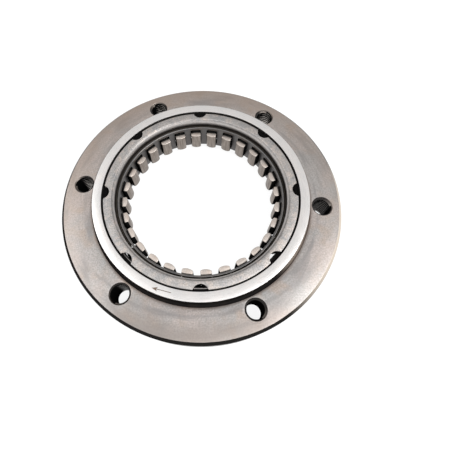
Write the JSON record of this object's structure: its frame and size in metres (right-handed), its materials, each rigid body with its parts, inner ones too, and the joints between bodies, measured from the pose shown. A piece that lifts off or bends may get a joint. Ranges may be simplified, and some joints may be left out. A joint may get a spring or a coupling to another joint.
{
  "type": "starter clutch",
  "caption": "One-way sprag clutch for an engine starter: a flanged race with tapped holes and a raised pilot hub, holding a notched double cage of spring-loaded sprags around an open centre.",
  "frame": {"origin": "centre of the flange's underside, on the axis", "axes": "+Z along the axis towards the hub face; +X through a tapped hole"},
  "size_m": [0.114, 0.114, 0.0162],
  "materials": {
    "race_steel": "ground hardened steel with faint heat tint, bright ground hub face",
    "cage_steel": "satin pressed steel",
    "inner_cage_steel": "darker satin pressed steel",
    "spring_steel": "thin spring strip",
    "sprag_steel": "matt tumbled bearing steel"
  },
  "bodies": {
    "outer_race": {"outer_race": "race_steel"},
    "outer_cage": {"outer_cage": "cage_steel", "ribbon_spring": "spring_steel"},
    "inner_cage": {"inner_cage": "inner_cage_steel"},
    "sprag_01": {"sprag_01": "sprag_steel"},
    "sprag_02": {"sprag_02": "sprag_steel"},
    "sprag_03": {"sprag_03": "sprag_steel"},
    "sprag_04": {"sprag_04": "sprag_steel"},
    "sprag_05": {"sprag_05": "sprag_steel"},
    "sprag_06": {"sprag_06": "sprag_steel"},
    "sprag_07": {"sprag_07": "sprag_steel"},
    "sprag_08": {"sprag_08": "sprag_steel"},
    "sprag_09": {"sprag_09": "sprag_steel"},
    "sprag_10": {"sprag_10": "sprag_steel"},
    "sprag_11": {"sprag_11": "sprag_steel"},
    "sprag_12": {"sprag_12": "sprag_steel"},
    "sprag_13": {"sprag_13": "sprag_steel"},
    "sprag_14": {"sprag_14": "sprag_steel"},
    "sprag_15": {"sprag_15": "sprag_steel"},
    "sprag_16": {"sprag_16": "sprag_steel"},
    "sprag_17": {"sprag_17": "sprag_steel"},
    "sprag_18": {"sprag_18": "sprag_steel"},
    "sprag_19": {"sprag_19": "sprag_steel"},
    "sprag_20": {"sprag_20": "sprag_steel"},
    "sprag_21": {"sprag_21": "sprag_steel"},
    "sprag_22": {"sprag_22": "sprag_steel"},
    "sprag_23": {"sprag_23": "sprag_steel"},
    "sprag_24": {"sprag_24": "sprag_steel"},
    "sprag_25": {"sprag_25": "sprag_steel"},
    "sprag_26": {"sprag_26": "sprag_steel"},
    "sprag_27": {"sprag_27": "sprag_steel"},
    "sprag_28": {"sprag_28": "sprag_steel"}
  },
  "joints": [
    {"name": "cage_spin", "type": "hinge", "parent": "outer_race", "child": "outer_cage", "pos_m": [0, 0, 0.0151], "axis": [0, 0, 1], "continuous": true},
    {"name": "sprag_tilt_01", "type": "hinge", "parent": "outer_cage", "child": "sprag_01", "pos_m": [0.03503, 0.00636, 0.0066], "axis": [0, 0, 1], "range_deg": [0, 10], "stiffness_Nm_per_rad": 0.01, "springref_deg": -5.73, "deforming": ["ribbon_spring"]},
    {"name": "sprag_tilt_02", "type": "hinge", "parent": "outer_cage", "child": "sprag_02", "pos_m": [0.03273, 0.014, 0.0066], "axis": [0, 0, 1], "range_deg": [0, 10], "stiffness_Nm_per_rad": 0.01, "springref_deg": -5.73},
    {"name": "sprag_tilt_03", "type": "hinge", "parent": "outer_cage", "child": "sprag_03", "pos_m": [0.0288, 0.02093, 0.0066], "axis": [0, 0, 1], "range_deg": [0, 10], "stiffness_Nm_per_rad": 0.01, "springref_deg": -5.73},
    {"name": "sprag_tilt_04", "type": "hinge", "parent": "outer_cage", "child": "sprag_04", "pos_m": [0.02342, 0.02681, 0.0066], "axis": [0, 0, 1], "range_deg": [0, 10], "stiffness_Nm_per_rad": 0.01, "springref_deg": -5.73},
    {"name": "sprag_tilt_05", "type": "hinge", "parent": "outer_cage", "child": "sprag_05", "pos_m": [0.01686, 0.03135, 0.0066], "axis": [0, 0, 1], "range_deg": [0, 10], "stiffness_Nm_per_rad": 0.01, "springref_deg": -5.73},
    {"name": "sprag_tilt_06", "type": "hinge", "parent": "outer_cage", "child": "sprag_06", "pos_m": [0.00946, 0.03432, 0.0066], "axis": [0, 0, 1], "range_deg": [0, 10], "stiffness_Nm_per_rad": 0.01, "springref_deg": -5.73},
    {"name": "sprag_tilt_07", "type": "hinge", "parent": "outer_cage", "child": "sprag_07", "pos_m": [0.00159, 0.03556, 0.0066], "axis": [0, 0, 1], "range_deg": [0, 10], "stiffness_Nm_per_rad": 0.01, "springref_deg": -5.73},
    {"name": "sprag_tilt_08", "type": "hinge", "parent": "outer_cage", "child": "sprag_08", "pos_m": [-0.00636, 0.03503, 0.0066], "axis": [0, 0, 1], "range_deg": [0, 10], "stiffness_Nm_per_rad": 0.01, "springref_deg": -5.73},
    {"name": "sprag_tilt_09", "type": "hinge", "parent": "outer_cage", "child": "sprag_09", "pos_m": [-0.014, 0.03273, 0.0066], "axis": [0, 0, 1], "range_deg": [0, 10], "stiffness_Nm_per_rad": 0.01, "springref_deg": -5.73},
    {"name": "sprag_tilt_10", "type": "hinge", "parent": "outer_cage", "child": "sprag_10", "pos_m": [-0.02093, 0.0288, 0.0066], "axis": [0, 0, 1], "range_deg": [0, 10], "stiffness_Nm_per_rad": 0.01, "springref_deg": -5.73},
    {"name": "sprag_tilt_11", "type": "hinge", "parent": "outer_cage", "child": "sprag_11", "pos_m": [-0.02681, 0.02342, 0.0066], "axis": [0, 0, 1], "range_deg": [0, 10], "stiffness_Nm_per_rad": 0.01, "springref_deg": -5.73},
    {"name": "sprag_tilt_12", "type": "hinge", "parent": "outer_cage", "child": "sprag_12", "pos_m": [-0.03135, 0.01686, 0.0066], "axis": [0, 0, 1], "range_deg": [0, 10], "stiffness_Nm_per_rad": 0.01, "springref_deg": -5.73},
    {"name": "sprag_tilt_13", "type": "hinge", "parent": "outer_cage", "child": "sprag_13", "pos_m": [-0.03432, 0.00946, 0.0066], "axis": [0, 0, 1], "range_deg": [0, 10], "stiffness_Nm_per_rad": 0.01, "springref_deg": -5.73},
    {"name": "sprag_tilt_14", "type": "hinge", "parent": "outer_cage", "child": "sprag_14", "pos_m": [-0.03556, 0.00159, 0.0066], "axis": [0, 0, 1], "range_deg": [0, 10], "stiffness_Nm_per_rad": 0.01, "springref_deg": -5.73},
    {"name": "sprag_tilt_15", "type": "hinge", "parent": "outer_cage", "child": "sprag_15", "pos_m": [-0.03503, -0.00636, 0.0066], "axis": [0, 0, 1], "range_deg": [0, 10], "stiffness_Nm_per_rad": 0.01, "springref_deg": -5.73},
    {"name": "sprag_tilt_16", "type": "hinge", "parent": "outer_cage", "child": "sprag_16", "pos_m": [-0.03273, -0.014, 0.0066], "axis": [0, 0, 1], "range_deg": [0, 10], "stiffness_Nm_per_rad": 0.01, "springref_deg": -5.73},
    {"name": "sprag_tilt_17", "type": "hinge", "parent": "outer_cage", "child": "sprag_17", "pos_m": [-0.0288, -0.02093, 0.0066], "axis": [0, 0, 1], "range_deg": [0, 10], "stiffness_Nm_per_rad": 0.01, "springref_deg": -5.73},
    {"name": "sprag_tilt_18", "type": "hinge", "parent": "outer_cage", "child": "sprag_18", "pos_m": [-0.02342, -0.02681, 0.0066], "axis": [0, 0, 1], "range_deg": [0, 10], "stiffness_Nm_per_rad": 0.01, "springref_deg": -5.73},
    {"name": "sprag_tilt_19", "type": "hinge", "parent": "outer_cage", "child": "sprag_19", "pos_m": [-0.01686, -0.03135, 0.0066], "axis": [0, 0, 1], "range_deg": [0, 10], "stiffness_Nm_per_rad": 0.01, "springref_deg": -5.73},
    {"name": "sprag_tilt_20", "type": "hinge", "parent": "outer_cage", "child": "sprag_20", "pos_m": [-0.00946, -0.03432, 0.0066], "axis": [0, 0, 1], "range_deg": [0, 10], "stiffness_Nm_per_rad": 0.01, "springref_deg": -5.73},
    {"name": "sprag_tilt_21", "type": "hinge", "parent": "outer_cage", "child": "sprag_21", "pos_m": [-0.00159, -0.03556, 0.0066], "axis": [0, 0, 1], "range_deg": [0, 10], "stiffness_Nm_per_rad": 0.01, "springref_deg": -5.73},
    {"name": "sprag_tilt_22", "type": "hinge", "parent": "outer_cage", "child": "sprag_22", "pos_m": [0.00636, -0.03503, 0.0066], "axis": [0, 0, 1], "range_deg": [0, 10], "stiffness_Nm_per_rad": 0.01, "springref_deg": -5.73},
    {"name": "sprag_tilt_23", "type": "hinge", "parent": "outer_cage", "child": "sprag_23", "pos_m": [0.014, -0.03273, 0.0066], "axis": [0, 0, 1], "range_deg": [0, 10], "stiffness_Nm_per_rad": 0.01, "springref_deg": -5.73},
    {"name": "sprag_tilt_24", "type": "hinge", "parent": "outer_cage", "child": "sprag_24", "pos_m": [0.02093, -0.0288, 0.0066], "axis": [0, 0, 1], "range_deg": [0, 10], "stiffness_Nm_per_rad": 0.01, "springref_deg": -5.73},
    {"name": "sprag_tilt_25", "type": "hinge", "parent": "outer_cage", "child": "sprag_25", "pos_m": [0.02681, -0.02342, 0.0066], "axis": [0, 0, 1], "range_deg": [0, 10], "stiffness_Nm_per_rad": 0.01, "springref_deg": -5.73},
    {"name": "sprag_tilt_26", "type": "hinge", "parent": "outer_cage", "child": "sprag_26", "pos_m": [0.03135, -0.01686, 0.0066], "axis": [0, 0, 1], "range_deg": [0, 10], "stiffness_Nm_per_rad": 0.01, "springref_deg": -5.73},
    {"name": "sprag_tilt_27", "type": "hinge", "parent": "outer_cage", "child": "sprag_27", "pos_m": [0.03432, -0.00946, 0.0066], "axis": [0, 0, 1], "range_deg": [0, 10], "stiffness_Nm_per_rad": 0.01, "springref_deg": -5.73},
    {"name": "sprag_tilt_28", "type": "hinge", "parent": "outer_cage", "child": "sprag_28", "pos_m": [0.03556, -0.00159, 0.0066], "axis": [0, 0, 1], "range_deg": [0, 10], "stiffness_Nm_per_rad": 0.01, "springref_deg": -5.73},
    {"name": "inner_cage_shift", "type": "hinge", "parent": "outer_cage", "child": "inner_cage", "pos_m": [0, 0, 0.0066], "axis": [0, 0, -1], "range_deg": [0, 0.6]}
  ],
  "couplings": [
    {"joint": "sprag_tilt_02", "follows": "sprag_tilt_01", "ratio": 1},
    {"joint": "sprag_tilt_03", "follows": "sprag_tilt_01", "ratio": 1},
    {"joint": "sprag_tilt_04", "follows": "sprag_tilt_01", "ratio": 1},
    {"joint": "sprag_tilt_05", "follows": "sprag_tilt_01", "ratio": 1},
    {"joint": "sprag_tilt_06", "follows": "sprag_tilt_01", "ratio": 1},
    {"joint": "sprag_tilt_07", "follows": "sprag_tilt_01", "ratio": 1},
    {"joint": "sprag_tilt_08", "follows": "sprag_tilt_01", "ratio": 1},
    {"joint": "sprag_tilt_09", "follows": "sprag_tilt_01", "ratio": 1},
    {"joint": "sprag_tilt_10", "follows": "sprag_tilt_01", "ratio": 1},
    {"joint": "sprag_tilt_11", "follows": "sprag_tilt_01", "ratio": 1},
    {"joint": "sprag_tilt_12", "follows": "sprag_tilt_01", "ratio": 1},
    {"joint": "sprag_tilt_13", "follows": "sprag_tilt_01", "ratio": 1},
    {"joint": "sprag_tilt_14", "follows": "sprag_tilt_01", "ratio": 1},
    {"joint": "sprag_tilt_15", "follows": "sprag_tilt_01", "ratio": 1},
    {"joint": "sprag_tilt_16", "follows": "sprag_tilt_01", "ratio": 1},
    {"joint": "sprag_tilt_17", "follows": "sprag_tilt_01", "ratio": 1},
    {"joint": "sprag_tilt_18", "follows": "sprag_tilt_01", "ratio": 1},
    {"joint": "sprag_tilt_19", "follows": "sprag_tilt_01", "ratio": 1},
    {"joint": "sprag_tilt_20", "follows": "sprag_tilt_01", "ratio": 1},
    {"joint": "sprag_tilt_21", "follows": "sprag_tilt_01", "ratio": 1},
    {"joint": "sprag_tilt_22", "follows": "sprag_tilt_01", "ratio": 1},
    {"joint": "sprag_tilt_23", "follows": "sprag_tilt_01", "ratio": 1},
    {"joint": "sprag_tilt_24", "follows": "sprag_tilt_01", "ratio": 1},
    {"joint": "sprag_tilt_25", "follows": "sprag_tilt_01", "ratio": 1},
    {"joint": "sprag_tilt_26", "follows": "sprag_tilt_01", "ratio": 1},
    {"joint": "sprag_tilt_27", "follows": "sprag_tilt_01", "ratio": 1},
    {"joint": "sprag_tilt_28", "follows": "sprag_tilt_01", "ratio": 1},
    {"joint": "inner_cage_shift", "follows": "sprag_tilt_01", "ratio": 0.0595}
  ]
}
